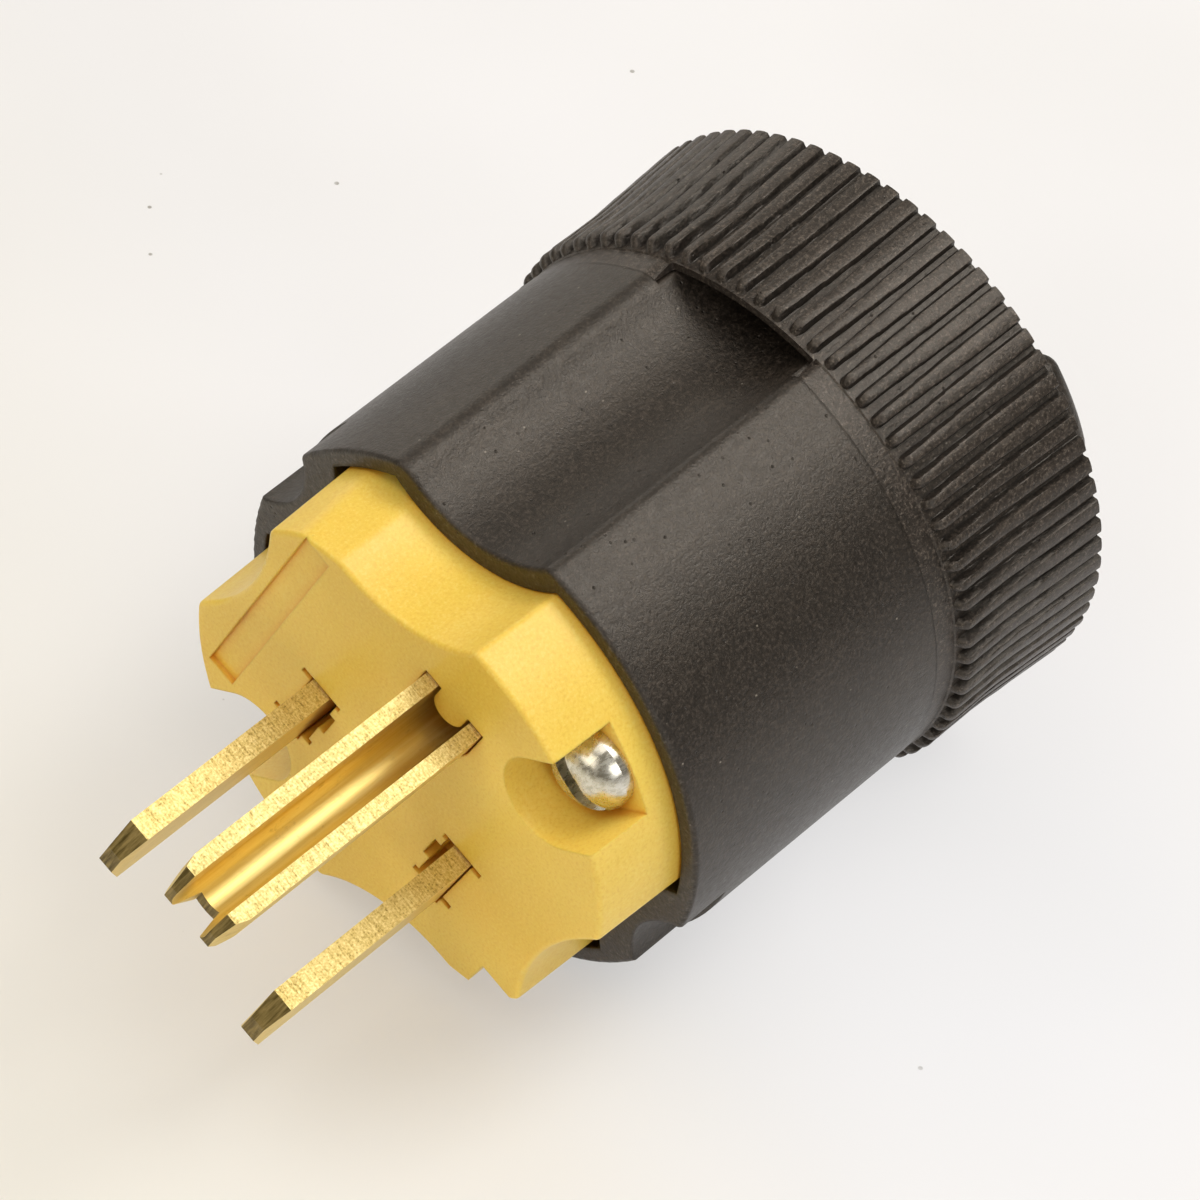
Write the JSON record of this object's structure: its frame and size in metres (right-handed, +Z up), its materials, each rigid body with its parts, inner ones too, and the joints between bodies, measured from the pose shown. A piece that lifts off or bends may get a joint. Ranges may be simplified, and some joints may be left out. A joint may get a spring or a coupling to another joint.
{
  "type": "type b plug",
  "caption": "Wireable mains plug with two flat blades, a U-shaped ground pin, a hollowed soft shell and a ribbed grip collar round the cord entry.",
  "frame": {"origin": "centre of the flat mating face, on the plug's axis", "axes": "+X along the plug's axis towards the blade tips; +Z up as the plug lies on its side; +Y to the left when seen from the cord end looking at the blade tips"},
  "size_m": [0.0644, 0.0388, 0.0388],
  "materials": {
    "yellow_nylon": "satin moulded",
    "shell_grey": "matte moulded",
    "collar_grey": "matte moulded",
    "dark_nylon": "matte moulded",
    "clear_plastic": "satin moulded",
    "seal_rubber": "matte",
    "brass": "satin stamped",
    "brass_screw": "turned",
    "plated_steel": "zinc plated",
    "green_screw": "dyed"
  },
  "bodies": {
    "root": {"front_body": "yellow_nylon", "line_blade": "brass", "neutral_blade": "brass", "ground_pin": "brass", "line_wire_clamp": "plated_steel", "neutral_wire_clamp": "plated_steel", "ground_wire_clamp": "plated_steel", "line_terminal_screw": "brass_screw", "neutral_terminal_screw": "plated_steel", "ground_terminal_screw": "green_screw", "terminal_cover": "clear_plastic", "dust_seal": "seal_rubber", "wedge_ring": "dark_nylon", "cord_jaw_a": "dark_nylon", "cord_jaw_b": "dark_nylon", "assembly_screws": "plated_steel", "assembly_nuts": "plated_steel", "outer_shell": "shell_grey", "grip_collar": "collar_grey", "rear_cover": "shell_grey"}
  },
  "joints": []
}
